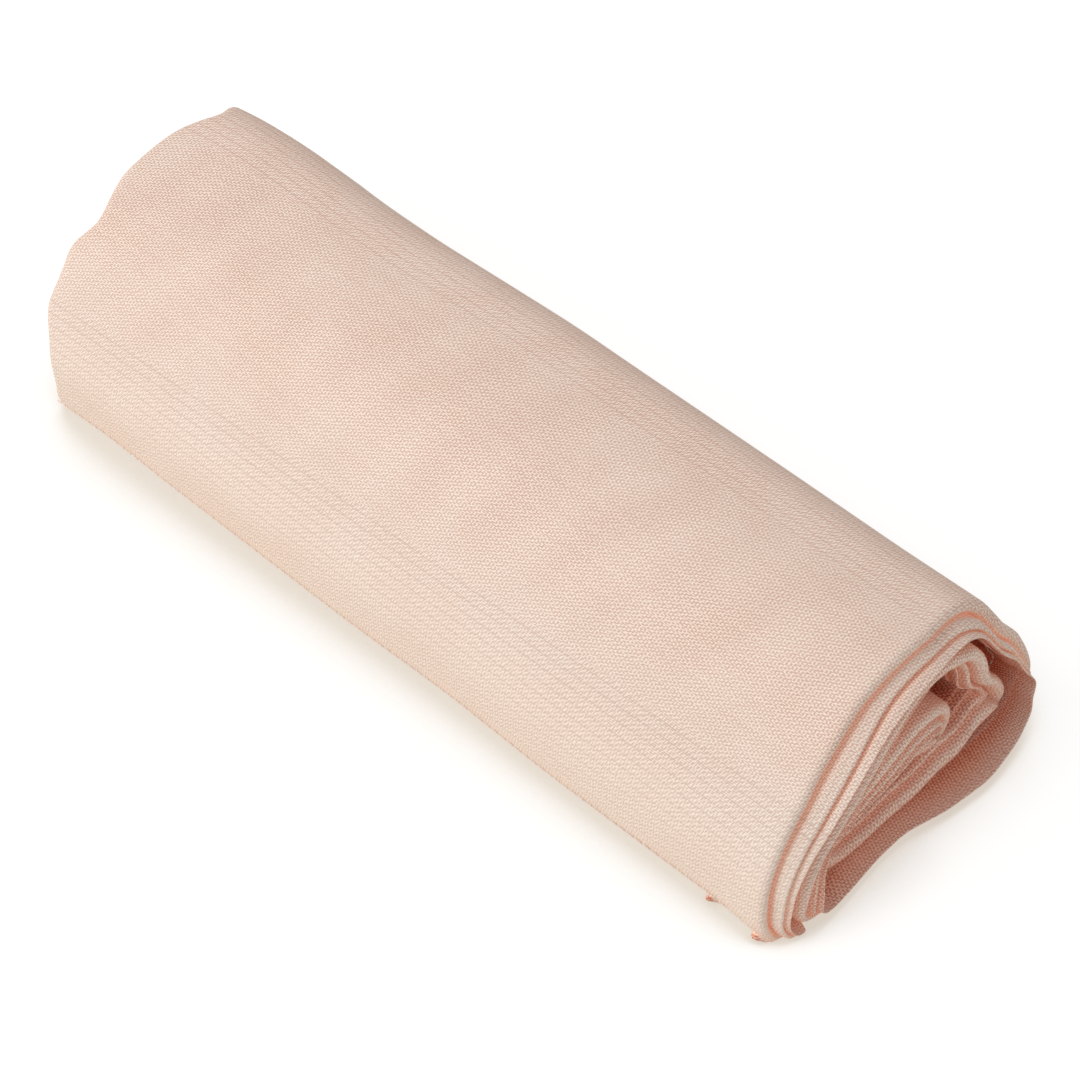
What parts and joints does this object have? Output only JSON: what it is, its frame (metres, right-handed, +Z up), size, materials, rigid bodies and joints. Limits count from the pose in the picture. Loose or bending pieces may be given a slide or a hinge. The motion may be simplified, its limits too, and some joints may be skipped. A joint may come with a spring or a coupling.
{
  "type": "baby wrap sling",
  "caption": "Long woven cloth for carrying a baby, folded lengthwise and rolled into a flat bundle, with a free edge that lifts open.",
  "frame": {"origin": "middle of the bundle's underside, at the centre of its outline seen from above", "axes": "+X along the roll towards its open end, +Z up, -Y towards the side where the cloth's free edge comes round"},
  "size_m": [0.312, 0.1158, 0.0641],
  "materials": {
    "cloth": "plain woven cotton, blush with cream yarns",
    "thread": "matt sewing thread",
    "marker": "folded cotton tape",
    "label": "plain satin tape, blank"
  },
  "bodies": {
    "roll": {"cloth_roll": "cloth", "left_tail_thread": "thread", "right_tail_thread": "thread", "top_rail_thread": "thread", "top_middle_marker": "marker", "top_marker_thread": "thread", "care_label": "label", "care_label_thread": "thread"},
    "flap": {"cloth_flap": "cloth", "left_tail_thread_on_flap": "thread", "right_tail_thread_on_flap": "thread", "bottom_rail_thread": "thread", "bottom_middle_marker": "marker", "bottom_marker_thread": "thread"}
  },
  "joints": [
    {"name": "flap_hinge", "type": "hinge", "parent": "roll", "child": "flap", "pos_m": [0, -0.0354, 0.04519], "axis": [-1, 0, 0], "range_deg": [0, 150]}
  ]
}
